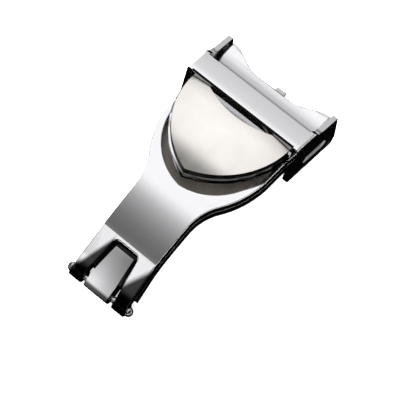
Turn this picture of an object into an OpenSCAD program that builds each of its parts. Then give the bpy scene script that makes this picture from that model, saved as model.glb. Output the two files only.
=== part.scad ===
/* [Overall] */
// Radius of the wrist arch, measured on the upper face of the top blade
arch_r = 44; // [36:0.5:60]
// Distance from the middle of the arch to the hinge pin, along the clasp
pin_back = 20.1; // [17:0.05:24]
// Drop of the hinge pin below the crown of the arch
pin_drop = 6.5; // [5:0.1:9]
// Angle round the arch at which the head frame sits
head_angle = 17.3; // [15:0.1:24]

/* [Blades] */
// Thickness of the top blade
top_t = 1.45; // [0.8:0.05:1.6]
// Thickness of the inner blade
inner_t = 1.35; // [0.8:0.05:1.6]
// Gap between the two closed blades
blade_gap = 0.12; // [0.08:0.01:0.3]
// Clearance between the broad part of the top blade and each side wall
blade_play = 0.25; // [0.15:0.01:0.5]
// Radius of each curved side of the broad part
belly_r = 12.75; // [10:0.05:16]
// Radius of the hollow curve at the waist
waist_r = 8; // [6:0.1:12]
// Distance from the front of the bar to the start of the curved sides
belly_back = 3.7; // [2:0.1:5]
// Width of the neck of the top blade
neck_w = 9.6; // [7.5:0.1:11]
// Width of the top blade across its two hinge arms
arm_w = 9.95; // [9.2:0.05:11.5]
// How much narrower the inner blade is than the top blade, each side
inner_inset = 0.02; // [0.02:0.01:0.5]
// Distance from the middle of the arch to the crease before the hinge
crease_back = 13.7; // [12.5:0.1:15]
// Small step of the pressed crease across each blade
crease_step = 0.05; // [0.03:0.01:0.08]

/* [Hinge] */
// Radius of the hinge pin
pin_r = 0.5; // [0.4:0.01:0.6]
// Radius of the underside of the arms and tongue round the hinge pin
knuckle_r = 1.05; // [0.95:0.01:1.2]
// Height of the flat face of the two arms above the middle of the hinge pin
face_rise = 1.35; // [1.2:0.01:1.5]
// Length of each arm beyond the hinge pin
nose_l = 0.95; // [0.8:0.01:1.05]
// Height of the crown of the tongue above the middle of the hinge pin
tongue_rise = 1.4; // [1.3:0.01:1.5]
// Radial clearance of the pin in the arms of the top blade
pin_play = 0.04; // [0.02:0.01:0.08]
// Width of the tongue of the inner blade at the pin
tongue_w = 4.0; // [3:0.1:4.6]
// Width of the open notch between the two arms at the pin
notch_w = 5.6; // [5:0.1:6.2]
// Width of the notch at its closed end
notch_top_w = 4.4; // [4:0.1:5]
// Distance from the hinge pin to the closed end of the notch
notch_l = 5.9; // [4.8:0.1:6.1]
// Radius of the domed heads on the hinge pin
pin_head_r = 0.72; // [0.62:0.01:0.9]

/* [Head frame] */
// Clear width between the two side walls, the strap size
inside_w = 18; // [16:0.5:20]
// Thickness of each side wall
wall_t = 0.8; // [0.5:0.05:1]
// Length of the side walls
wall_l = 9.5; // [8:0.1:11]
// Depth of the cross bar from front to back
bar_l = 3.9; // [3:0.1:5]
// Thickness of the cross bar
bar_t = 1.3; // [0.9:0.05:1.6]
// Height of the strap passage under the cross bar
passage_h = 2.1; // [1.8:0.05:3]
// Depth of the side walls below the top of the bar
wall_h = 7.4; // [7:0.1:8.2]
// How far the rear top of each wall lies below the bar
rear_drop = 1.3; // [0.6:0.1:2]
// Length of the tool slot in each wall
slot_l = 5; // [3:0.1:5.5]
// Height of the tool slot in each wall
slot_h = 1.3; // [0.9:0.1:1.6]
// How far each latch stud bites under the edges of the blades
latch_bite = 0.05; // [0.02:0.01:0.06]
// Radius of the two pivot pins of the head frame
pivot_r = 0.5; // [0.35:0.01:0.6]
// Radial clearance of the pivot pins in the walls
pivot_play = 0.04; // [0.02:0.01:0.08]

/* [Shield] */
// Radius of each curved side of the shield
shield_r = 12.25; // [11:0.05:13]
// Clearance between the broad part of the shield and each side wall
shield_play = 0.25; // [0.15:0.01:0.5]
// Radius of the dome of the shield
dome_r = 47.3; // [42:0.1:60]
// Thickness of the brushed cap of the shield
cap_t = 0.85; // [0.5:0.05:1.2]
// Thickness of the polished base of the shield
base_t = 0.65; // [0.4:0.05:1]
// Depth of the curved cut beside the bar
lens_depth = 1.5; // [0.8:0.1:2.4]
// Radius of the curved cut beside the bar
lens_r = 11.7; // [8:0.1:20]
// Distance from the front of the bar to the peg and the two posts
peg_back = 7.0; // [5:0.1:8]
// Distance of each post from the middle
post_x = 3.6; // [2.5:0.1:4.5]
// Radius of the posts that hold the cap
post_r = 0.4; // [0.3:0.01:0.5]
// Skin of the cap left over each post
post_skin = 0.4; // [0.3:0.05:0.6]
// Distance of each arm of the base from the middle
arm_x = 6.6; // [5.5:0.1:7]
// Width of each arm of the base
arm_wide = 2.6; // [2:0.1:3]
// Thickness of each arm of the base
arm_t = 0.6; // [0.4:0.05:0.8]
// Radius of the rivets through the arms
rivet_r = 0.5; // [0.3:0.01:0.6]
// How far the head of each rivet stands out round its shank
rivet_head = 0.25; // [0.15:0.01:0.3]
// Depth of each rivet in the bar
rivet_sink = 0.75; // [0.5:0.05:0.75]
// Radius of the peg that enters the strap hole
peg_r = 0.9; // [0.6:0.05:1.2]
// Length of the peg below the shield base
peg_l = 3.0; // [2.6:0.1:3.1]
// Height of the collar round the root of the peg
collar_h = 0.45; // [0.3:0.05:0.6]
// Radius of the neck of the peg in its collar
neck_r = 0.7; // [0.6:0.01:0.8]

/* [Window] */
// Rim left between the widest part of the window and the edge of the top blade
rim = 0.7; // [0.6:0.05:2]
// Radius of each curved side of the window
window_r = 9.0; // [8.6:0.1:11]
// Distance from the middle of the arch to the tip of the window
window_tip = 3.45; // [2.5:0.05:4]

/* [Spring bar] */
// Radius of the spring bar tube
tube_r = 0.75; // [0.6:0.01:0.9]
// Wall of the spring bar tube
tube_wall = 0.18; // [0.12:0.01:0.25]
// Radius of the spring bar tips
tip_r = 0.4; // [0.3:0.01:0.5]
// Length of each tip inside the spring bar tube
tip_grip = 2.6; // [2:0.1:3.5]
// Length of the stop at the inner end of each tip
tip_stop = 0.6; // [0.4:0.05:0.8]
// Radius of the wire of the coil between the tips
coil_wire = 0.16; // [0.1:0.01:0.18]
// Thickness of the two lugs that hold the spring bar
lug_t = 0.9; // [0.7:0.05:1.1]

/* [Hidden] */
$fn = 64;

eps = 0.01;
blade_w = inside_w - 2 * blade_play;
shield_off = shield_r - inside_w / 2 + shield_play;
px = -pin_back;
pz = -pin_drop;
head_y = arch_r * sin(head_angle);
head_z = arch_r * cos(head_angle) - arch_r;
bar_top = passage_h + bar_t;
front = -4.6;
rear = front + wall_l;
wall_low = bar_top - wall_h;
outer_w = inside_w + 2 * wall_t;
pivot_y = rear - 0.95;
pivot_z = wall_low + 1.0;
low_z = min(pz - knuckle_r,
            head_z - (rear + 0.2) * sin(head_angle) + wall_low * cos(head_angle));
base_lift = -low_z;
high_y = head_y + rear * cos(head_angle) + (bar_top - rear_drop - 0.4) * sin(head_angle);

/* the crease on the outer arc and the straight ramp from it down to the hinge */
cr_z = sqrt(arch_r * arch_r - crease_back * crease_back) - arch_r;
cr_dy = crease_back + px;
cr_dz = cr_z - pz;
cr_d = sqrt(cr_dy * cr_dy + cr_dz * cr_dz);
ramp_a = atan2(cr_dz, -cr_dy) - asin(face_rise / cr_d);
nrm = [-sin(ramp_a), cos(ramp_a)];
up = [cos(ramp_a), sin(ramp_a)];

/* a point u along the ramp from the hinge pin and n square to it */
function at(u, n) = [px, pz] + u * up + n * nrm;

/* the arms curve down a little over the hinge and end in a blunt nose */
bend_u = 3;
function arm_n(u) = face_rise - crease_step - pow(bend_u - u, 2) / 32;
nose_r = norm([nose_l, arm_n(-nose_l)]);
low_y = at(-nose_l, arm_n(-nose_l))[0];
mid_shift = -(low_y + high_y) / 2;

/* the point of the ramp line at depth d where it meets the arc of the same face */
function at_depth(d) = [-crease_back, cr_z] - d * nrm;
function meet(d) = let (w = at_depth(d) + [0, arch_r], e = w * up)
    at_depth(d) + (-e + sqrt(e * e - w * w + pow(arch_r - d, 2))) * up;

/* place a side profile, drawn as length and height, across the width w */
module side(w) rotate([90, 0, 90]) linear_extrude(w, center = true) children();

/* place pieces drawn in the tilted frame of the head */
module head_at() translate([0, head_y, head_z]) rotate([-head_angle, 0, 0]) children();

/* half width of the hinge arms at the pin, where a wide neck may still be wider than the arms */
arm_run = 3;
neck_run = pin_back - crease_back - 0.4;
arm_edge = max(arm_w / 2, neck_w / 2 - 0.1 + (arm_w / 2 - neck_w / 2 + 0.1) * neck_run / (neck_run + arm_run));

/* lift the whole clasp so that it rests on the ground */
module lift() translate([0, mid_shift, base_lift]) children();

module band(r, t, y0, y1) intersection() {
    translate([0, -arch_r]) difference() {
        circle(r, $fn = 200);
        circle(r - t, $fn = 200);
    }
    translate([y0, -arch_r]) square([y1 - y0, arch_r + 1]);
}

/* arc and ramp of one blade, t thick, its upper face at depth d, up to y1, with its low end given */
module leaf(t, d, y1, tail) {
    m = meet(d);
    band(arch_r - d, t, m[0], y1);
    s = d + crease_step;
    polygon(concat([at_depth(s) + 0.15 * up, at_depth(s + 0.3 * t) + 0.8 * up, at_depth(s + t) + 1.6 * up],
                   tail));
}

/* outline of a blade in plan: broad part, curved waist, neck and flared hinge end */
module waist_plan(hw, nk, arm, y_end, y_top) {
    r1 = belly_r;
    rf = waist_r;
    cx = hw - r1;
    cy = head_y + front * cos(head_angle) - belly_back;
    fx = nk + rf;
    fy = cy - sqrt(pow(r1 + rf, 2) - pow(fx - cx, 2));
    ta = atan2(cy - fy, fx - cx);
    n = 14;
    half = concat([[hw, y_top]],
        [for (i = [0:n]) [cx + r1 * cos(ta * i / n), cy - r1 * sin(ta * i / n)]],
        [for (i = [1:n]) [fx - rf * cos(ta * (n - i) / n), fy + rf * sin(ta * (n - i) / n)]],
        [[nk - 0.1, -crease_back - 0.4], [arm, y_end]]);
    last = len(half) - 1;
    polygon(concat(half, [for (i = [last:-1:0]) [-half[i][0], half[i][1]]]));
}

/* pointed shield outline, grown by g, reaching back behind the bar front */
module shield_plan(g, back) intersection() {
    translate([-shield_off, 0]) circle(shield_r + g, $fn = 200);
    translate([shield_off, 0]) circle(shield_r + g, $fn = 200);
    translate([-15, -30]) square([30, 30 + back]);
}

/* pointed window of the top blade in plan, with a hollow rear edge near the bar */
module window_plan() {
    off = window_r - blade_w / 2 + rim;
    cy = -window_tip + sqrt(window_r * window_r - off * off);
    difference() {
        intersection() {
            translate([-off, cy]) circle(window_r, $fn = 200);
            translate([off, cy]) circle(window_r, $fn = 200);
        }
        translate([0, head_y + front * cos(head_angle) + 8.8]) circle(11.5, $fn = 200);
    }
}

/* notch between the hinge arms, in plan */
module notch_plan() {
    c = 0.8;
    half = concat([[notch_w / 2, px - 4], [notch_w / 2, px]],
        [for (i = [0:6]) [notch_top_w / 2 - c + c * cos(15 * i), px + notch_l - c + c * sin(15 * i)]]);
    last = len(half) - 1;
    polygon(concat(half, [for (i = [last:-1:0]) [-half[i][0], half[i][1]]]));
}

/* side profile of the curved rear plate, behind the arc of the top blade */
plate_s = front + bar_l - 0.3;
plate_l = rear - 0.15 - plate_s;
plate_t = top_t - 0.25;
plate_rise = bar_top - rear_drop - 0.65;
plate_r = (plate_l * plate_l + plate_rise * plate_rise) / (4 * plate_rise);
plate_b = 2 * atan(plate_rise / plate_l);
plate_n = 12;
module plate_profile() {
    function low(i, r) = [plate_s + r * sin(plate_b * i / plate_n), plate_r - r * cos(plate_b * i / plate_n)];
    function high(i, r) = [plate_s + plate_l - r * sin(plate_b * i / plate_n),
                           plate_rise - plate_r + r * cos(plate_b * i / plate_n)];
    polygon(concat([for (i = [0:plate_n]) low(i, plate_r)],
                   [for (i = [plate_n - 1:-1:0]) high(i, plate_r)],
                   [for (i = [0:plate_n]) high(i, plate_r - plate_t)],
                   [for (i = [plate_n - 1:-1:0]) low(i, plate_r + plate_t)]));
}

/* hollow rear edge of the plate in plan, its middle at y0 and its corners at y1 */
module rear_cut(y0, y1) {
    w = blade_w / 2;
    n = 10;
    half = [for (i = [0:n]) [3 + (w - 3) * i / n, y0 + (y1 - y0) * (1 - cos(180 * i / n)) / 2]];
    polygon(concat([[w + 1, y1 + 3], [w + 1, y1 + 0.05]], [for (i = [n:-1:0]) half[i]],
                   [for (i = [0:n]) [-half[i][0], half[i][1]]], [[-w - 1, y1 + 0.05], [-w - 1, y1 + 3]]));
}

/* inner blade and what is fixed to it */

lug_y = 1.5;
lug_z = -top_t - blade_gap - inner_t / 2;
lug_x = inside_w / 2 - 0.3;
inner_d = top_t + blade_gap;
inner_n = face_rise - crease_step - inner_d;
in_hw = blade_w / 2 - inner_inset;
in_end = 0.35;

function tongue_n(u) = tongue_rise - pow(u - 0.1, 2) / 56;
module inner_blade() color([0.62, 0.60, 0.57]) lift() difference() {
    union() {
        intersection() {
            side(24) leaf(inner_t, inner_d, head_y + in_end, [at(0, inner_n - inner_t), at(0, inner_n)]);
            translate([0, 0, -30]) linear_extrude(40)
                waist_plan(in_hw, neck_w / 2 - inner_inset, arm_w / 2 - inner_inset, px + 1.9, head_y + in_end + 1);
        }
        // domed tongue that rises through the notch and round the hinge pin
        intersection() {
            side(tongue_w) union() {
                translate([px, pz]) circle(knuckle_r - 0.02);
                polygon(concat([for (i = [0:12]) at(5.6 - 6.2 * i / 12, tongue_n(5.6 - 6.2 * i / 12))],
                    [at(-0.85, 0.95), at(-0.9, 0.1), at(0, 0.2 - knuckle_r), at(1.9, inner_n - inner_t + 0.1),
                     at(notch_l, inner_n - inner_t + 0.1), at(notch_l, inner_n - 0.3),
                     at(notch_l + 0.1, inner_n + 0.1), at(notch_l + 0.25, 0.75)]));
            }
            translate([0, 0, -30]) linear_extrude(40) polygon([
                [-tongue_w / 2, px - 3], [tongue_w / 2, px - 3], [tongue_w / 2, px + 1],
                [tongue_w / 2 - 0.5, px + notch_l], [tongue_w / 2 - 0.5, px + notch_l + 3],
                [-tongue_w / 2 + 0.5, px + notch_l + 3], [-tongue_w / 2 + 0.5, px + notch_l],
                [-tongue_w / 2, px + 1]]);
        }
        // lugs that carry the spring bar
        head_at() for (m = [-1, 1]) translate([m * (lug_x - lug_t / 2), 0, 0]) side(lug_t) {
            translate([lug_y, lug_z]) circle(0.95);
            translate([-1, lug_z - inner_t / 2]) square([1 + lug_y, inner_t]);
        }
    }
    // clearance round the noses of the two arms
    for (m = [-1, 1]) translate([m * (tongue_w / 2 + 5), px, pz]) rotate([0, 90, 0])
        cylinder(r = nose_r + 0.12, h = 10, center = true);
    // hinge pin hole
    translate([0, px, pz]) rotate([0, 90, 0]) cylinder(r = pin_r, h = 30, center = true);
    // spring bar holes
    head_at() translate([0, lug_y, lug_z]) rotate([0, 90, 0])
        cylinder(r = tip_r + 0.04, h = 40, center = true);
    // opening between the lugs for the loop of the strap
    head_at() translate([0, 5, 0]) cube([2 * (lug_x - lug_t), 10 - 0.01, 12], center = true);
}

module pin_x(r, l, x0) translate([x0, px, pz]) rotate([0, 90, 0]) cylinder(r = r, h = l);

module hinge_pin() color([0.80, 0.80, 0.80]) lift() {
    pin_x(pin_r, 2 * arm_edge + 0.5, -arm_edge - 0.25);
    // domed head
    intersection() {
        translate([arm_edge + 0.05, px, pz]) sphere(pin_head_r);
        pin_x(2, 3, arm_edge + 0.05);
    }
}

module hinge_cap() color([0.80, 0.80, 0.80]) lift() difference() {
    intersection() {
        translate([-arm_edge - 0.05, px, pz]) sphere(pin_head_r);
        pin_x(2, 3, -arm_edge - 3.05);
    }
    pin_x(pin_r, 0.2 + eps, -arm_edge - 0.25);
}

tube_l = 2 * (lug_x - lug_t) - 0.1;
tip_out = inside_w / 2 - 0.12;
tip_in = tube_l / 2 - tip_grip;

module bar_tube() color([0.72, 0.73, 0.74]) lift() head_at()
    translate([0, lug_y, lug_z]) rotate([0, 90, 0]) difference() {
        cylinder(r = tube_r, h = tube_l, center = true);
        cylinder(r = tube_r - tube_wall, h = tube_l - 0.5, center = true);
        cylinder(r = tip_r + 0.04, h = tube_l + 1, center = true);
    }

module bar_tip(m) color([0.78, 0.78, 0.79]) lift() head_at()
    translate([0, lug_y, lug_z]) rotate([0, 90 * m, 0]) {
        translate([0, 0, tip_in]) cylinder(r = tip_r, h = tip_out - tip_in);
        translate([0, 0, tip_in]) cylinder(r = tube_r - tube_wall - 0.04, h = tip_stop);
    }

module bar_tip_left() bar_tip(-1);
module bar_tip_right() bar_tip(1);

module bar_coil() color([0.55, 0.55, 0.56]) lift() head_at()
    translate([0, lug_y, lug_z]) rotate([0, 90, 0])
        translate([0, 0, -tip_in + 0.05]) linear_extrude(2 * tip_in - 0.1, twist = -360 * 7, slices = 98, $fn = 7)
            translate([tube_r - tube_wall - coil_wire - 0.11, 0]) circle(coil_wire, $fn = 7);

/* top blade */

module top_blade() color([0.86, 0.86, 0.87]) lift() difference() {
    union() {
        intersection() {
            side(24) union() {
                leaf(top_t, 0, head_y + (plate_s + 1.3) * cos(head_angle), concat(
                    [at(-0.6, face_rise - crease_step - top_t), at(-0.9, 0.1)],
                    [for (i = [0:8]) let (u = -nose_l + (bend_u + nose_l) * i / 8) at(u, arm_n(u))]));
                translate([px, pz]) circle(knuckle_r);
            }
            translate([0, 0, -30]) linear_extrude(40)
                waist_plan(blade_w / 2, neck_w / 2, arm_w / 2, px - arm_run, head_y + 3);
        }
        // curved rear plate with a hollow rear edge
        head_at() difference() {
            side(blade_w - 0.04) translate([0, -0.12]) plate_profile();
            translate([0, 0, -10]) linear_extrude(20) rear_cut(rear - 1.95, rear - 0.12);
        }
        // small tab on the rear edge
        head_at() translate([1, rear - 1.8, plate_rise - 0.9]) cube([1.6, 1.4, 0.5], center = true);
        // ears that carry the pivot pins of the head frame
        head_at() for (m = [-1, 1]) translate([m * (blade_w / 2 - 0.45), 0, 0]) side(0.9) {
            translate([pivot_y, pivot_z]) circle(0.9);
            polygon([[pivot_y - 0.8, pivot_z], [pivot_y - 0.8, plate_rise - 1.5],
                     [pivot_y + 0.5, plate_rise - 0.7], [pivot_y + 0.8, pivot_z]]);
        }
    }
    // window under the shield
    translate([0, 0, -20]) linear_extrude(30) window_plan();
    // open notch between the hinge arms
    translate([0, 0, -30]) linear_extrude(40) notch_plan();
    translate([0, px, pz]) rotate([0, 90, 0]) cylinder(r = pin_r + pin_play, h = 30, center = true);
    head_at() translate([0, pivot_y, pivot_z]) rotate([0, 90, 0]) cylinder(r = pivot_r, h = 30, center = true);
}

module frame_pins() color([0.80, 0.80, 0.80]) lift() head_at() for (m = [-1, 1])
    translate([m * (outer_w / 2 - 0.88), pivot_y, pivot_z]) rotate([0, 90, 0])
        cylinder(r = pivot_r, h = 1.7, center = true);

/* head frame and shield */

module wall_profile() difference() {
    union() {
        polygon([[front, bar_top], [front + bar_l, bar_top], [front + bar_l + 0.9, bar_top - rear_drop * 0.55],
                 [front + bar_l + 2.2, bar_top - rear_drop * 0.9], [rear - 0.2, bar_top - rear_drop],
                 [rear, bar_top - rear_drop - 0.4], [rear + 0.75, wall_low + 1.1], [rear + 0.2, wall_low],
                 [front + 0.55, wall_low], [front - 0.35, wall_low + 0.6]]);
        translate([front + 0.25, wall_low + 0.6]) circle(0.6);
    }
    hull() for (k = [0, 1])
        translate([front + 2.8 + slot_h / 2 + k * (slot_l - slot_h), wall_low + 2.15]) circle(slot_h / 2);
    translate([pivot_y, pivot_z]) circle(pivot_r + pivot_play);
}

dent_z = lug_z - inner_t / 2 - 0.5;
dent_r = 0.36;
module head_frame() color([0.83, 0.83, 0.84]) lift() head_at() difference() {
    union() {
        for (m = [-1, 1]) translate([m * (inside_w + wall_t) / 2, 0, 0]) side(wall_t) wall_profile();
        side(outer_w) polygon([[front, bar_top - 0.25], [front + 0.25, bar_top],
            [front + bar_l - 0.25, bar_top], [front + bar_l, bar_top - 0.25],
            [front + bar_l, passage_h], [front, passage_h]]);
    }
    // blind holes of the latch studs
    for (m = [-1, 1]) translate([m * (inside_w / 2 - 0.1), front + 1.2, dent_z]) rotate([0, m * 90, 0])
        cylinder(r = dent_r, h = 0.1 + 0.45);
    // rivet holes of the shield base
    for (m = [-1, 1]) translate([m * arm_x, front + 1.3, passage_h - 0.01]) cylinder(r = rivet_r, h = rivet_sink + 0.05);
    // bevel on each long edge of the bar ends
    for (m = [-1, 1]) translate([m * outer_w / 2, 0, bar_top]) rotate([0, 45, 0]) cube([0.3, 40, 0.3], center = true);
}

// each stud snaps past the edges of the blades by latch_bite
module latch_studs() color([0.75, 0.75, 0.76]) lift() head_at() for (m = [-1, 1])
    translate([0, front + 1.2, dent_z]) rotate([0, m * 90, 0]) intersection() {
        translate([0, 0, blade_w / 2 - 0.2]) cylinder(r = dent_r, h = blade_play + 0.65);
        translate([0, 0, blade_w / 2 - latch_bite + 0.8]) sphere(0.8);
    }

/* the dome of the shield bends about the middle line of the head and meets the bar near its top */
dome_z = bar_top - 0.25 - sqrt(dome_r * dome_r - front * front);
lens_y = front - lens_depth + lens_r;

/* the ball whose skin is the dome of the shield, d below its face */
module ball(d) translate([0, 0, dome_z]) sphere(dome_r - d, $fn = 200);

/* shell of the dome between two depths, cut off at the head end at y1 */
module shell(d0, d1, y1) intersection() {
    difference() {
        ball(d0);
        ball(d1);
    }
    translate([-inside_w, front - 16, -6]) cube([2 * inside_w, 16 + y1, 14]);
}

module shield_cap() color([0.84, 0.82, 0.78]) lift() head_at() difference() {
    intersection() {
        shell(0, cap_t, 2);
        translate([0, front, -10]) linear_extrude(20) shield_plan(-0.15, -0.06);
    }
    translate([0, lens_y, -10]) cylinder(r = lens_r, h = 20, $fn = 200);
    // sockets for the posts
    for (m = [-1, 1]) intersection() {
        translate([m * post_x, front - peg_back, 0]) cylinder(r = post_r, h = 8);
        ball(post_skin);
    }
}

arm_low = passage_h - arm_t - 0.4;
module shield_base() color([0.80, 0.80, 0.81]) lift() head_at() difference() {
    union() {
        intersection() {
            shell(cap_t, cap_t + base_t, -0.05);
            translate([0, front, -10]) linear_extrude(20) shield_plan(0.1, -0.06);
        }
        // arms that run back under the bar, each with a foot that thickens the base
        for (m = [-1, 1]) translate([m * arm_x, 0, 0]) side(arm_wide) polygon([
            [front - 0.05, arm_low], [front + 0.3, arm_low], [front + 0.45, passage_h - arm_t],
            [front + 2.35, passage_h - arm_t], [front + 2.35, passage_h], [front - 0.05, passage_h]]);
        intersection() {
            for (m = [-1, 1]) translate([m * arm_x - arm_wide / 2, front - 1.9, arm_low])
                cube([arm_wide, 1.88, 1.6]);
            ball(cap_t);
        }
    }
    translate([0, lens_y + 0.25, -10]) cylinder(r = lens_r, h = 20, $fn = 200);
    for (m = [-1, 1]) translate([m * arm_x, front + 1.3, 0]) cylinder(r = rivet_r, h = 8);
    for (m = [-1, 1]) translate([m * post_x, front - peg_back, 0]) cylinder(r = post_r, h = 8);
    peg_at() translate([0, 0, peg_top - 2]) cylinder(r = neck_r - 0.15, h = 8);
}

module base_rivets() color([0.78, 0.78, 0.78]) lift() head_at() for (m = [-1, 1])
    translate([m * arm_x, front + 1.3, 0]) {
        translate([0, 0, passage_h - arm_t]) cylinder(r = rivet_r, h = arm_t + rivet_sink);
        translate([0, 0, passage_h - arm_t - 0.2]) cylinder(r = rivet_r + rivet_head, h = 0.2);
    }

module cap_posts() color([0.78, 0.78, 0.78]) lift() head_at() for (m = [-1, 1]) intersection() {
    translate([m * post_x, front - peg_back, 0]) cylinder(r = post_r, h = 8);
    shell(post_skin, cap_t + base_t, 2);
}

peg_a = asin((peg_back - front) / (dome_r - cap_t - base_t));
peg_top = dome_r - cap_t - base_t - 0.05;
peg_low = peg_top - collar_h - 0.2;

/* place pieces on the radius of the dome that carries the peg */
module peg_at() translate([0, 0, dome_z]) rotate([peg_a, 0, 0]) children();

module strap_peg() color([0.80, 0.80, 0.81]) lift() head_at() {
    peg_at() {
        translate([0, 0, peg_top - peg_l]) cylinder(r1 = peg_r - 0.3, r2 = peg_r, h = 0.3);
        translate([0, 0, peg_top - peg_l + 0.3]) cylinder(r = peg_r, h = peg_low - (peg_top - peg_l + 0.3));
    }
    intersection() {
        peg_at() translate([0, 0, peg_low]) cylinder(r = neck_r, h = 3);
        ball(cap_t + base_t);
    }
    intersection() {
        peg_at() translate([0, 0, peg_top - 0.3]) cylinder(r = neck_r - 0.15, h = 3);
        ball(cap_t);
    }
}

module peg_collar() color([0.74, 0.74, 0.75]) lift() head_at() difference() {
    intersection() {
        peg_at() translate([0, 0, peg_top - collar_h]) cylinder(r = peg_r + 0.6, h = 2);
        ball(cap_t + base_t);
    }
    peg_at() translate([0, 0, peg_top - 3]) cylinder(r = neck_r, h = 8);
}

inner_blade();
hinge_pin();
hinge_cap();
bar_tube();
bar_tip_left();
bar_tip_right();
bar_coil();
top_blade();
frame_pins();
head_frame();
latch_studs();
shield_base();
shield_cap();
base_rivets();
cap_posts();
strap_peg();
peg_collar();
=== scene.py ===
"""Polished and brushed steel deployant clasp for an 18 mm leather watch strap."""
import logging
import math
from dataclasses import dataclass, replace
from enum import Enum
from typing import Callable

import bpy
from mathutils import Matrix, Vector


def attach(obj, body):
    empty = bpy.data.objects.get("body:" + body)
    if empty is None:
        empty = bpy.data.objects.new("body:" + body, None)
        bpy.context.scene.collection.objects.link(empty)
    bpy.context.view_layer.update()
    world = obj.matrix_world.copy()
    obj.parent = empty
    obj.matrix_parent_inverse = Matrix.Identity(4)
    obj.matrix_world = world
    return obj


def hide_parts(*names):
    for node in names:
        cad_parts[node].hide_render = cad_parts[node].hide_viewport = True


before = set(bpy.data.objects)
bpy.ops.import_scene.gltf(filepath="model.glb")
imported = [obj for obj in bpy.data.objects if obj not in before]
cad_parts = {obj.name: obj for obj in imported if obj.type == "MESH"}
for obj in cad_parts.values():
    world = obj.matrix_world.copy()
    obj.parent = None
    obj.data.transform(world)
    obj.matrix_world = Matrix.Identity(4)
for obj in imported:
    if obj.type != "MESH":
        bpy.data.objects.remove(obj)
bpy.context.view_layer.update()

log = logging.getLogger("clasp")
MM = 0.001
PICTURE_PX = 416
# scale of the faint clouds in a finish, and depth of its hairlines at full strength
CLOUD_SCALE = 260.0
HAIR_DEPTH_MM = 0.02
# welding and shading of copied CAD nodes
WELD_MM = 0.002
FLAT_DEG = 0.05
SMOOTH_DEG = 24
# a corner counts as lying on an arch or a dome within this distance, and its face within this cosine
ON_CURVE_MM = 0.02
ON_CURVE_COS = 0.85


def linear(code: str) -> tuple[float, float, float, float]:
    """Turn an sRGB hex colour into the linear colour that the shaders take.

    Args:
        code: Six hex digits, such as "c8c4bc".

    Returns:
        Red, green, blue and an alpha of one.
    """
    parts = [int(code[i:i + 2], 16) / 255 for i in (0, 2, 4)]
    return tuple(p / 12.92 if p <= 0.04045 else ((p + 0.055) / 1.055) ** 2.4 for p in parts) + (1.0,)


def add_node(tree: bpy.types.NodeTree, kind: str, links: dict | None = None, **settings) -> bpy.types.Node:
    """Add one shader node with its settings, socket values and incoming links.

    Args:
        tree: The node tree that takes the node.
        kind: Node class, without the leading "ShaderNode".
        links: Input name or number to an output socket or a plain value.
        settings: Attributes to set on the node.

    Returns:
        The new node.
    """
    node = tree.nodes.new("ShaderNode" + kind)
    for key, value in settings.items():
        setattr(node, key, value)
    for key, value in (links or {}).items():
        if isinstance(value, bpy.types.NodeSocket):
            tree.links.new(value, node.inputs[key])
        else:
            node.inputs[key].default_value = value
    return node


class Grain(Enum):
    """Direction in which a steel face was rubbed."""

    POLISHED = (1.0, 1.0, 1.0)
    ALONG = (9.0, 0.35, 9.0)
    ACROSS = (0.35, 9.0, 9.0)


@dataclass(frozen=True)
class Crown:
    """Turn of the shading normal across a face, per millimetre, so that it reflects like a more domed one."""

    axis: str
    start_mm: float
    turn_per_mm: float
    one_sided: bool = False

    def height(self, tree: bpy.types.NodeTree, split: bpy.types.Node) -> bpy.types.NodeSocket:
        """Build the height of the bend.

        Args:
            tree: The material's tree.
            split: Node that gives the object coordinates one by one.

        Returns:
            Height in metres.
        """
        away = add_node(tree, "Math", {0: split.outputs[self.axis], 1: self.start_mm * MM},
                        operation="SUBTRACT")
        if self.one_sided:
            away = add_node(tree, "Math", {0: away.outputs[0], 1: 0.0}, operation="MINIMUM")
        square = add_node(tree, "Math", {0: away.outputs[0], 1: away.outputs[0]}, operation="MULTIPLY")
        return add_node(tree, "Math", {0: square.outputs[0], 1: -self.turn_per_mm / MM / 2},
                        operation="MULTIPLY").outputs[0]


@dataclass(frozen=True)
class Fade:
    """Darkening of the base colour in one direction of the clasp's plan.

    It is painted in to match the reflections of the photograph, so it doesn't move with the light or the
    viewer.
    """

    direction: tuple[float, float]
    light_mm: float
    dark_mm: float
    share: float
    beyond_mm: float | None = None

    def factor(self, tree: bpy.types.NodeTree, split: bpy.types.Node) -> bpy.types.NodeSocket:
        """Build the share of the colour that is left.

        Args:
            tree: The material's tree.
            split: Node that gives the object coordinates one by one.

        Returns:
            Share, one on the light side and on the near side of beyond_mm, which is a place on X.
        """
        part = add_node(tree, "Math", {0: split.outputs["Y"], 1: self.direction[1]}, operation="MULTIPLY")
        place = add_node(tree, "Math", {0: split.outputs["X"], 1: self.direction[0], 2: part.outputs[0]},
                         operation="MULTIPLY_ADD")
        limits = {"From Min": self.light_mm * MM, "From Max": self.dark_mm * MM, "To Min": 1.0,
                  "To Max": self.share}
        share = add_node(tree, "MapRange", {"Value": place.outputs[0], **limits},
                         interpolation_type="SMOOTHSTEP")
        if self.beyond_mm is None:
            return share.outputs[0]
        test = "LESS_THAN" if self.beyond_mm < 0 else "GREATER_THAN"
        gate = add_node(tree, "Math", {0: split.outputs["X"], 1: self.beyond_mm * MM}, operation=test)
        loss = add_node(tree, "Math", {0: share.outputs[0], 1: 1.0}, operation="SUBTRACT")
        return add_node(tree, "Math", {0: gate.outputs[0], 1: loss.outputs[0], 2: 1.0},
                        operation="MULTIPLY_ADD").outputs[0]


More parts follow.
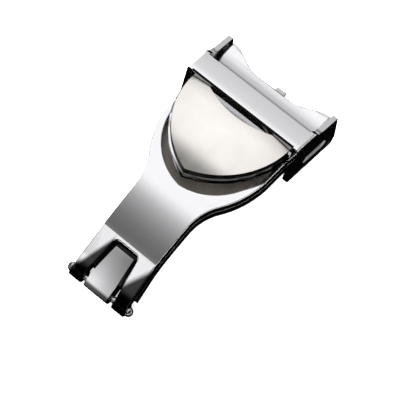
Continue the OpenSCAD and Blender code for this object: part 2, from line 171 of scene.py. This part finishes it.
@dataclass(frozen=True)
class SteelFinish:
    """Stainless steel with one surface finish."""

    name: str
    tint: str
    shade: str
    roughness: float
    spread: float
    grain: Grain
    line_mm: float = 0.28
    depth: float = 0.05
    crowns: tuple[Crown, ...] = ()
    fades: tuple[Fade, ...] = ()
    metal: float = 1.0

    def material(self) -> bpy.types.Material:
        """Build the procedural material.

        Returns:
            The finished material.
        """
        mat = bpy.data.materials.new(self.name)
        mat.use_nodes = True
        tree = mat.node_tree
        tree.nodes.clear()
        coords = add_node(tree, "TexCoord")
        lines = add_node(tree, "Mapping", {"Vector": coords.outputs["Object"], "Scale": self.grain.value})
        # hairlines are 0.02 to 0.05 mm on the real steel and are drawn coarser so that they show
        hair = add_node(tree, "TexNoise", {"Vector": lines.outputs[0], "Scale": 1000 / self.line_mm / 9,
                                           "Detail": 4.0, "Roughness": 0.65})
        cloud = add_node(tree, "TexNoise", {"Vector": coords.outputs["Object"], "Scale": CLOUD_SCALE,
                                            "Detail": 2.0})
        both = add_node(tree, "Math", {0: hair.outputs["Fac"], 1: cloud.outputs["Fac"], 2: 0.15},
                        operation="MULTIPLY_ADD")
        colour = add_node(tree, "ValToRGB", {"Fac": both.outputs[0]})
        colour.color_ramp.elements[0].position = 0.15
        colour.color_ramp.elements[0].color = linear(self.shade)
        colour.color_ramp.elements[1].position = 0.65
        colour.color_ramp.elements[1].color = linear(self.tint)
        split = add_node(tree, "SeparateXYZ", {0: coords.outputs["Object"]})
        for fade in self.fades:
            colour = add_node(tree, "VectorMath", {0: colour.outputs[0], "Scale": fade.factor(tree, split)},
                              operation="SCALE")
        rough = add_node(tree, "MapRange", {"Value": hair.outputs["Fac"], "From Min": 0.3, "From Max": 0.7,
                                            "To Min": max(self.roughness - self.spread, 0.02),
                                            "To Max": self.roughness + self.spread})
        bump = add_node(tree, "Bump", {"Height": hair.outputs["Fac"], "Strength": self.depth,
                                       "Distance": HAIR_DEPTH_MM * MM})
        for crown in self.crowns:
            bump = add_node(tree, "Bump", {"Height": crown.height(tree, split), "Normal": bump.outputs[0],
                                           "Distance": 1.0})
        shader = add_node(tree, "BsdfPrincipled", {"Base Color": colour.outputs[0], "Metallic": self.metal,
                                                   "Roughness": rough.outputs[0], "Normal": bump.outputs[0]})
        out = add_node(tree, "OutputMaterial")
        tree.links.new(shader.outputs[0], out.inputs[0])
        return mat


# mirror polished stainless steel: hard grey reflections, faint haze from the polishing wheel
MIRROR = SteelFinish("polished_stainless", "e4e4e6", "dedee0", 0.08, 0.015, Grain.POLISHED, 1.2, 0.01)
# the same polish on the curved plate behind the bar, with painted shade beside the bar
PLATE = replace(MIRROR, name="polished_stainless_plate", fades=(
    Fade((0.0, 1.0), 18.2, 16.0, 0.58), Fade((0.0, 1.0), 16.4, 15.9, 0.35)))
# the same polish on the hinge arms, each with a nearly black painted reflection past a slanting line and at
# its knuckle
ARMS = replace(MIRROR, name="polished_stainless_arms", crowns=(
    Crown("X", 0.0, 0.020), Crown("Y", -13.2, -0.008, True)), fades=(
    Fade((0.925, -0.38), 2.45, 3.1, 0.05, -2.2), Fade((0.863, -0.505), 10.2, 11.1, 0.05, 2.2),
    Fade((0.0, 1.0), -18.2, -18.8, 0.08)))
# the same polish on the tongue: its sheen grows towards the hinge, with painted shade to the right and at its
# end by the pin
TONGUE = replace(MIRROR, name="polished_stainless_tongue", crowns=(Crown("Y", -18.3, -0.0265),), fades=(
    Fade((1.0, 0.0), -1.6, 2.0, 0.62), Fade((0.0, 1.0), -18.9, -19.4, 0.10)))
# the same polish on the head bow, whose cross bar reflects as if slightly domed from front to back
BOW = replace(MIRROR, name="polished_stainless_bow", crowns=(
    Crown("Y", 13.07, 0.036), Crown("Y", 12.3, 0.09, True)))
# the same polish on the rim of the shield base: bright on the left, with painted shade on the right and at
# the bar
RIM = replace(MIRROR, name="polished_stainless_rim", fades=(
    Fade((1.0, 0.0), -3.5, 0.2, 0.09), Fade((0.0, 1.0), 7.4, 8.6, 0.16)))
# satin brushed cap: broad soft highlight, slightly warm, lines along the clasp, with painted shade at the bar
# and at the tip
SATIN = SteelFinish("satin_stainless_cap", "faf7f3", "e4e0da", 0.34, 0.05, Grain.ALONG, 0.30, 0.14,
                    (Crown("Y", 4.6, 0.060, True),),
                    (Fade((0.0, 1.0), 8.5, 11.5, 0.78), Fade((0.0, 1.0), 3.2, -0.7, 0.62)))
# side of the cap: painted shade, darker than steel's own colour, so that the cap is set off from the rim
# below it
EDGE = SteelFinish("cap_side_painted_shade", "4a4846", "3a3836", 0.30, 0.04, Grain.POLISHED, 0.4, 0.04)
# matte brushed inner leaf: brownish grey, lines along the clasp, with painted shade to the left
MATTE = SteelFinish("matte_stainless_leaf", "f2eadf", "dcd3c6", 0.58, 0.06, Grain.ALONG, 0.26, 0.15,
                    (), (Fade((1.0, 0.0), 3.5, -2.5, 0.40),))
# the same leaf under the hinge arms: dull, with painted shade that makes it darker than steel's own colour,
# as the photograph shows it
DULL_SHADE = SteelFinish("leaf_under_arms_painted_shade", "6f6b66", "5a5752", 0.40, 0.05, Grain.ALONG, 0.30, 0.10)
# punched edges of the notch and the leaf: painted shade, almost black, much darker than steel's own colour,
# as in the photograph
PUNCHED_SHADE = SteelFinish("punched_edge_painted_shade", "2c2a28", "1c1b1a", 0.34, 0.04, Grain.POLISHED, 0.4, 0.04)
# milled inside of the wall slots: painted light, an even light grey. Its metallic is 0.3 and not a steel's 1,
# so that it shows in the black wall
MILLED_LIGHT = SteelFinish("milled_slot_painted_light", "b4b4b4", "9c9c9c", 0.50, 0.05, Grain.ACROSS, 0.3, 0.10,
                     metal=0.3)
# turned and tumbled small parts: bright with a soft grey
TURNED = SteelFinish("turned_stainless", "cfcfd0", "bcbcbe", 0.20, 0.04, Grain.POLISHED, 0.5, 0.04)
# drawn spring wire: darker grey, dull
WIRE = SteelFinish("drawn_spring_wire", "8d8d90", "77777a", 0.34, 0.04, Grain.POLISHED, 0.4, 0.05)


def deselect() -> None:
    """Deselect every object."""
    for item in bpy.context.selected_objects:
        item.select_set(False)


def mark_hard_edges(mesh: bpy.types.Mesh, angle: float, crisp: Callable[[Vector], bool]) -> None:
    """Mark the edges that a bevel takes.

    Args:
        mesh: The piece's mesh.
        angle: Edges sharper than this are marked, in degrees.
        crisp: Says of an edge's middle, in millimetres, whether the edge stays without a bevel.
    """
    sides: dict[tuple[int, int], list[Vector]] = {}
    for face in mesh.polygons:
        for key in face.edge_keys:
            sides.setdefault(key, []).append(face.normal)
    weights = mesh.attributes.new("bevel_weight_edge", "FLOAT", "EDGE")
    limit = math.cos(math.radians(angle))
    for edge in mesh.edges:
        near = sides[edge.key]
        middle = sum((mesh.vertices[corner].co for corner in edge.vertices), Vector()) / 2 / MM
        if len(near) == 2 and near[0].dot(near[1]) < limit and not crisp(middle):
            weights.data[edge.index].value = 1.0


def softened(node: str, name: str, body: str, width_mm: float, angle: float = 28.0, segments: int = 2,
             clamp: bool = True, crisp: Callable[[Vector], bool] = lambda _: False) -> bpy.types.Object:
    """Copy a CAD node, weld it and give its hard edges a small polished bevel.

    Args:
        node: CAD node to copy and stand for.
        name: Name of the new piece.
        body: Body that the piece rides on.
        width_mm: Width of the bevel.
        angle: Edges sharper than this are bevelled, in degrees.
        segments: Facets across the bevel.
        clamp: Whether short edges hold the width of the bevel back.
        crisp: Says which hard edges stay without a bevel, as mark_hard_edges takes it.

    Returns:
        The finished piece.
    """
    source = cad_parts[node]
    deselect()
    piece = bpy.data.objects.new(name, source.data.copy())
    bpy.context.scene.collection.objects.link(piece)
    piece.select_set(True)
    bpy.context.view_layer.objects.active = piece
    bpy.ops.object.mode_set(mode="EDIT")
    bpy.ops.mesh.select_all(action="SELECT")
    bpy.ops.mesh.remove_doubles(threshold=WELD_MM * MM)
    bpy.ops.mesh.dissolve_limited(angle_limit=math.radians(FLAT_DEG))
    bpy.ops.mesh.normals_make_consistent(inside=False)
    bpy.ops.object.mode_set(mode="OBJECT")
    mark_hard_edges(piece.data, angle, crisp)
    bevel = piece.modifiers.new("edge", "BEVEL")
    bevel.width = width_mm * MM
    bevel.segments = segments
    bevel.limit_method = "WEIGHT"
    bevel.use_clamp_overlap = clamp
    bpy.ops.object.modifier_apply(modifier="edge")
    bpy.ops.object.shade_smooth_by_angle(angle=math.radians(SMOOTH_DEG))
    weighted = piece.modifiers.new("even", "WEIGHTED_NORMAL")
    weighted.keep_sharp = True
    bpy.ops.object.modifier_apply(modifier="even")
    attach(piece, body)
    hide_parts(node)
    piece.select_set(False)
    log.info("%s stands for %s with %d faces", name, node, len(piece.data.polygons))
    return piece


def true_curve(item: bpy.types.Object, centre_mm: Vector, radius_mm: float, ball: bool,
               start_mm: float) -> None:
    """Shade the faces that lie on an arch or a dome by its true curve, so that mirrors stay smooth.

    Args:
        item: The piece.
        centre_mm: Centre of the dome, or a point on the axis of the arch, which runs across the clasp.
        radius_mm: Radius of the face.
        ball: True for a dome, False for an arch.
        start_mm: Faces nearer to the hinge than this are left.
    """
    mesh = item.data
    normals = [Vector(corner.vector) for corner in mesh.corner_normals]
    for face in mesh.polygons:
        for corner in face.loop_indices:
            away = mesh.vertices[mesh.loops[corner].vertex_index].co / MM - centre_mm
            if not ball:
                away.x = 0.0
            outward = away.normalized()
            if (abs(away.length - radius_mm) < ON_CURVE_MM and away.y + centre_mm.y > start_mm
                    and face.normal.dot(outward) > ON_CURVE_COS):
                normals[corner] = outward
    mesh.normals_split_custom_set([tuple(normal) for normal in normals])


def dress(item: bpy.types.Object, material: bpy.types.Material) -> None:
    """Give an object one material.

    Args:
        item: Piece or CAD node.
        material: Its finish.
    """
    item.data.materials.clear()
    item.data.materials.append(material)


def paint(item: bpy.types.Object, material: bpy.types.Material,
          test: Callable[[Vector, Vector], bool]) -> None:
    """Give the faces in one region of an object another material.

    Args:
        item: The piece.
        material: Its second finish.
        test: Says of a face's middle, in millimetres, and its normal whether it takes the second finish.
    """
    item.data.materials.append(material)
    for face in item.data.polygons:
        if test(face.center / MM, face.normal):
            face.material_index = len(item.data.materials) - 1


@dataclass
class Blades:
    """The two arched leaves and the hinge that joins them."""

    top_bevel_mm: float = 0.19
    inner_bevel_mm: float = 0.10
    crease_mm: float = -12.2
    crease_half_mm: float = 0.09
    tongue_half_mm: float = 2.05
    tongue_gap_mm: float = 3.2
    plate_mm: float = 15.0
    notch_half_mm: float = 2.9
    # a face counts as upright, as a side or as a front beyond these parts of its normal
    wall_z: float = 0.6
    side_x: float = 0.25
    front_y: float = 0.1
    arch_mm: tuple[float, float] = (1.515, -36.45)
    arch_r_mm: float = 44.0

    def on_crease(self, middle: Vector) -> bool:
        """Tell the edges of the small pressed step at the crease from the others."""
        return abs(middle.y - self.crease_mm) < self.crease_half_mm

    def at_hinge(self, spot: Vector) -> bool:
        """Tell whether a spot lies on the hinge's side of the crease."""
        return spot.y < self.crease_mm

    def build(self, mirror: bpy.types.Material, turned: bpy.types.Material) -> None:
        """Build and dress the leaves and the hinge pin.

        Args:
            mirror: Finish of the top blade.
            turned: Finish of the pin.
        """
        top = softened("top_blade", "top_leaf", "top", self.top_bevel_mm, segments=4, clamp=False,
                       crisp=self.on_crease)
        true_curve(top, Vector((0, *self.arch_mm)), self.arch_r_mm, False, self.crease_mm)
        dress(top, mirror)
        # the hinge arms take a nearly black painted reflection
        paint(top, ARMS.material(), lambda spot, _: self.at_hinge(spot))
        # the plate behind the bar takes painted shade beside the bar
        paint(top, PLATE.material(), lambda spot, _: spot.y > self.plate_mm)
        punched_shade = PUNCHED_SHADE.material()
        # the notch's own walls stand inside the arms and get painted shade
        paint(top, punched_shade, lambda spot, face: self.at_hinge(spot) and abs(spot.x) < self.notch_half_mm
              and face.z < self.wall_z)
        leaf = softened("inner_blade", "inner_leaf", "inner", self.inner_bevel_mm, crisp=self.on_crease)
        # the inner leaf takes painted shade to the left
        dress(leaf, MATTE.material())
        # sheared sides of the leaf get painted shade
        paint(leaf, punched_shade, lambda spot, face: abs(face.z) < self.wall_z and spot.y > self.crease_mm)
        # the leaf under the hinge arms takes painted shade
        paint(leaf, DULL_SHADE.material(), lambda spot, _: self.at_hinge(spot))
        # the tongue that shows through the notch is polished like the top blade, with painted shade to the
        # right and at its end, and its punched edges get painted shade
        paint(leaf, TONGUE.material(), lambda spot, _: self.at_hinge(spot)
              and abs(spot.x) < self.tongue_half_mm)
        # the punched edges round the tongue take painted shade
        paint(leaf, punched_shade, lambda spot, face: self.at_hinge(spot) and abs(spot.x) < self.tongue_gap_mm
              and (abs(face.x) > self.side_x or face.y > self.front_y))
        for node in ("hinge_pin", "hinge_cap", "frame_pins"):
            dress(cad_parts[node], turned)


@dataclass
class SpringBar:
    """The sprung bar that holds the fixed strap half."""

    nodes: tuple[str, ...] = ("bar_tube", "bar_tip_left", "bar_tip_right")

    def build(self, turned: bpy.types.Material, wire: bpy.types.Material) -> None:
        """Dress the tube, its tips and its coil.

        Args:
            turned: Finish of the tube and tips.
            wire: Finish of the coil.
        """
        for node in self.nodes:
            dress(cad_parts[node], turned)
        dress(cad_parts["bar_coil"], wire)


@dataclass
class HeadCover:
    """The head frame with its bar and walls, and the shield under its bar."""

    frame_bevel_mm: float = 0.12
    cap_bevel_mm: float = 0.22
    dome_mm: tuple[float, float] = (1.537, -36.38)
    dome_r_mm: float = 47.3
    base_bevel_mm: float = 0.08
    wall_mm: tuple[float, float] = (9.15, 9.65)
    # a face counts as the cap's side, the tray's underside or the slot's inside by these parts of its normal
    cap_side_z: float = 0.80
    under_z: float = -0.5
    slot_x: float = 0.3
    slot_mm: tuple[float, float] = (14.72, 3.59)
    slot_half_mm: tuple[float, float] = (2.6, 0.75)
    tilt_deg: float = 17.3
    small: tuple[str, ...] = ("latch_studs", "base_rivets", "cap_posts", "strap_peg", "peg_collar")

    def build(self, turned: bpy.types.Material) -> None:
        """Build and dress the cover.

        Args:
            turned: Finish of the small parts.
        """
        bow = softened("head_frame", "head_bow", "cover", self.frame_bevel_mm)
        dress(bow, BOW.material())
        # the inside of the wall slots takes painted light
        paint(bow, MILLED_LIGHT.material(), self.in_slot)
        cap = softened("shield_cap", "shield_dome", "cover", self.cap_bevel_mm, segments=3)
        true_curve(cap, Vector((0, *self.dome_mm)), self.dome_r_mm, True, -50.0)
        # the cap takes painted shade at the bar and at the tip
        dress(cap, SATIN.material())
        # the cap's sides take painted shade
        paint(cap, EDGE.material(), lambda _, face: face.z < self.cap_side_z)
        tray = softened("shield_base", "shield_tray", "cover", self.base_bevel_mm)
        # the rim takes painted shade on the right and at the bar
        dress(tray, RIM.material())
        paint(tray, MIRROR.material(), lambda _, face: face.z < self.under_z)
        for node in self.small:
            dress(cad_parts[node], turned)

    def in_slot(self, spot: Vector, face: Vector) -> bool:
        """Tell the inside of the wall slots from the rest of the bow.

        Args:
            spot: Middle of a face, in millimetres.
            face: Its normal.

        Returns:
            Whether it belongs to a slot.
        """
        inside = self.wall_mm[0] < abs(spot.x) < self.wall_mm[1] and abs(face.x) < self.slot_x
        away, tilt = (spot.y - self.slot_mm[0], spot.z - self.slot_mm[1]), math.radians(self.tilt_deg)
        along = away[0] * math.cos(tilt) - away[1] * math.sin(tilt)
        across = away[0] * math.sin(tilt) + away[1] * math.cos(tilt)
        return inside and abs(along) < self.slot_half_mm[0] and abs(across) < self.slot_half_mm[1]


@dataclass
class Studio:
    """Floor, lamps and camera of the product photograph."""

    azimuth: float = 45.38
    elevation: float = 68.5
    roll: float = -4.82
    pixels_per_mm: float = 7.395
    centre_px: tuple[float, float] = (196.0, 166.1)
    distance_mm: float = 350.0
    crown_mm: tuple[float, float] = (1.515, 7.55)
    # grey of the room by direction, from the hinge side to the head side, set by comparing the brightness of
    # the render with the photograph's. The first two stops are the ramp's ends
    room: tuple[tuple[float, str], ...] = (
        (-1.0, "050505"), (1.0, "c0c0c0"), (-0.65, "1a1a1a"), (-0.57, "f4f4f4"), (-0.52, "f4f4f4"),
        (-0.46, "b8b8b8"), (-0.40, "8a8a8a"), (-0.34, "666666"), (-0.25, "787878"), (-0.19, "8c8c8c"),
        (-0.13, "a5a5a5"), (-0.08, "c0c0c0"), (-0.03, "e4e4e4"), (0.02, "ffffff"), (0.60, "ffffff"),
        (0.73, "dedede"), (0.85, "cccccc"))
    # share of that light by direction, from the left side to the right side, set the same way
    sides: tuple[tuple[float, str], ...] = (
        (-1.0, "060606"), (1.0, "020202"), (-0.78, "101010"), (-0.62, "ffffff"), (0.14, "ffffff"),
        (0.32, "1c1c1c"))
    room_glow: float = 1.25
    wall_grey: str = "a8a8a8"
    sheet_z_mm: float = 0.03

    def axes(self) -> tuple[Vector, Vector, Vector]:
        """Return the camera's right, up and back directions."""
        a, e, r = (math.radians(v) for v in (self.azimuth, self.elevation, self.roll))
        back = Vector((math.sin(a) * math.cos(e), -math.cos(a) * math.cos(e), math.sin(e)))
        right = Vector((math.cos(a), math.sin(a), 0.0))
        up = back.cross(right)
        return (math.cos(r) * right + math.sin(r) * up, math.cos(r) * up - math.sin(r) * right, back)

    def camera(self) -> None:
        """Place the long lens camera at the photograph's angle."""
        right, up, back = self.axes()
        dx = (PICTURE_PX / 2 - self.centre_px[0]) / self.pixels_per_mm
        dy = -(PICTURE_PX / 2 - self.centre_px[1]) / self.pixels_per_mm
        data = bpy.data.cameras.new("product_camera")
        data.sensor_width = 36.0
        data.lens = self.pixels_per_mm * self.distance_mm / PICTURE_PX * data.sensor_width
        data.clip_start = 0.01
        data.clip_end = 10.0
        cam = bpy.data.objects.new("product_camera", data)
        bpy.context.scene.collection.objects.link(cam)
        place = (Vector((0, *self.crown_mm)) + back * self.distance_mm + right * dx + up * dy) * MM
        cam.matrix_world = Matrix(((right.x, up.x, back.x, place.x), (right.y, up.y, back.y, place.y),
                                   (right.z, up.z, back.z, place.z), (0, 0, 0, 1)))
        bpy.context.scene.camera = cam

    def floor(self) -> None:
        """Lay the plain white floor."""
        deselect()
        bpy.ops.mesh.primitive_plane_add(size=3.0, location=(0, 0, -0.00002))
        item = bpy.context.active_object
        item.name = "floor"
        mat = bpy.data.materials.new("white_paper")
        mat.use_nodes = True
        tree = mat.node_tree
        tree.nodes.clear()
        path = add_node(tree, "LightPath")
        # the paper glows for the camera and in reflections alone
        seen = add_node(tree, "Math", {0: path.outputs["Is Camera Ray"], 1: path.outputs["Is Glossy Ray"]},
                        operation="MAXIMUM")
        seen = add_node(tree, "Math", {0: seen.outputs[0], 1: path.outputs["Is Transmission Ray"]},
                        operation="MAXIMUM")
        paper = add_node(tree, "BsdfDiffuse", {"Color": linear("f4f4f4")})
        glow = add_node(tree, "Emission", {"Color": (1, 1, 1, 1), "Strength": 0.55})
        both = add_node(tree, "AddShader", {0: paper.outputs[0], 1: glow.outputs[0]})
        mix = add_node(tree, "MixShader", {0: seen.outputs[0], 1: paper.outputs[0], 2: both.outputs[0]})
        out = add_node(tree, "OutputMaterial")
        tree.links.new(mix.outputs[0], out.inputs[0])
        dress(item, mat)

    def sheet(self, name: str, near_mm: tuple[float, float], far_mm: tuple[float, float],
              colour: str) -> None:
        """Lay a sheet on the floor that is seen in reflections alone.

        Args:
            name: Name of the sheet.
            near_mm: Its corner at the lowest X and Y.
            far_mm: The opposite corner.
            colour: Hex colour.
        """
        deselect()
        bpy.ops.mesh.primitive_plane_add(size=1.0)
        item = bpy.context.active_object
        item.name = name
        corners = [(x, y, self.sheet_z_mm) for y in (near_mm[1], far_mm[1]) for x in (near_mm[0], far_mm[0])]
        for point, corner in zip(item.data.vertices, corners):
            point.co = Vector(corner) * MM
        item.visible_camera = False
        item.visible_shadow = False
        item.visible_diffuse = False
        mat = bpy.data.materials.new(name + "_paint")
        mat.use_nodes = True
        tree = mat.node_tree
        tree.nodes.clear()
        glow = add_node(tree, "Emission", {"Color": linear(colour), "Strength": 1.0})
        out = add_node(tree, "OutputMaterial")
        tree.links.new(glow.outputs[0], out.inputs[0])
        dress(item, mat)

    def ramp(self, tree: bpy.types.NodeTree, value: bpy.types.NodeSocket,
             stops: tuple[tuple[float, str], ...]) -> bpy.types.NodeSocket:
        """Turn one part of a direction into greys.

        Args:
            tree: The world's tree.
            value: Part of the direction, -1 to 1.
            stops: Places and greys, the two ends first.

        Returns:
            The colour.
        """
        place = add_node(tree, "MapRange", {"Value": value, "From Min": -1.0, "From Max": 1.0})
        ramp = add_node(tree, "ValToRGB", {"Fac": place.outputs[0]})
        marks = ramp.color_ramp.elements
        for number, (spot, grey) in enumerate(stops):
            mark = marks[number] if number < 2 else marks.new((spot + 1) / 2)
            mark.position = (spot + 1) / 2
            mark.color = linear(grey)
        return ramp.outputs[0]

    def lamps(self) -> None:
        """Hang the soft lamps and set the world."""
        world = bpy.data.worlds.new("studio")
        world.use_nodes = True
        bpy.context.scene.world = world
        tree = world.node_tree
        tree.nodes.clear()
        coords = add_node(tree, "TexCoord")
        split = add_node(tree, "SeparateXYZ", {0: coords.outputs["Generated"]})
        along = self.ramp(tree, split.outputs["Y"], self.room)
        across = self.ramp(tree, split.outputs["X"], self.sides)
        both = add_node(tree, "Mix", data_type="RGBA", blend_type="MULTIPLY")
        both.inputs["Factor"].default_value = 1.0
        tree.links.new(along, both.inputs[6])
        tree.links.new(across, both.inputs[7])
        # a lighter grey low down on the right, meant for the views from that side
        low = add_node(tree, "MapRange", {"Value": split.outputs["Z"], "From Min": 0.52, "From Max": 0.30})
        open_side = add_node(tree, "MapRange", {"Value": split.outputs["X"], "From Min": 0.15,
                                                "From Max": 0.45})
        share = add_node(tree, "Math", {0: low.outputs[0], 1: open_side.outputs[0]}, operation="MULTIPLY")
        walls = add_node(tree, "Mix", data_type="RGBA")
        tree.links.new(share.outputs[0], walls.inputs["Factor"])
        tree.links.new(both.outputs[2], walls.inputs[6])
        walls.inputs[7].default_value = linear(self.wall_grey)
        back = add_node(tree, "Background", {"Color": walls.outputs[2], "Strength": self.room_glow})
        out = add_node(tree, "OutputWorld")
        tree.links.new(back.outputs[0], out.inputs[0])
        for name, place, size, power in (
                ("key_lamp", (-260, 140, 420), 0.30, 6.0), ("fill_lamp", (240, -260, 380), 0.26, 2.5)):
            data = bpy.data.lights.new(name, "AREA")
            data.shape = "DISK"
            data.size = size
            data.energy = power
            lamp = bpy.data.objects.new(name, data)
            lamp.location = Vector(place) * MM
            lamp.visible_glossy = False
            lamp.rotation_euler = (Vector(place)).to_track_quat("Z", "Y").to_euler()
            bpy.context.scene.collection.objects.link(lamp)

    def build(self) -> None:
        """Set up the whole studio."""
        bpy.context.scene.view_settings.view_transform = "Standard"
        self.floor()
        self.lamps()
        # the steep rear faces of the head reflect the grey sheet
        self.sheet("grey_sheet", (-400, 35), (60, 600), "9c9c9c")
        # the upright sides reflect the black sheet
        self.sheet("black_sheet", (-24, -42), (34, 34), "060606")
        self.camera()


def main() -> None:
    """Build the clasp, dress it and set up the studio."""
    logging.basicConfig(level=logging.INFO)
    turned = TURNED.material()
    Studio().build()
    Blades().build(MIRROR.material(), turned)
    SpringBar().build(turned, WIRE.material())
    HeadCover().build(turned)


if __name__ == "__main__":
    main()
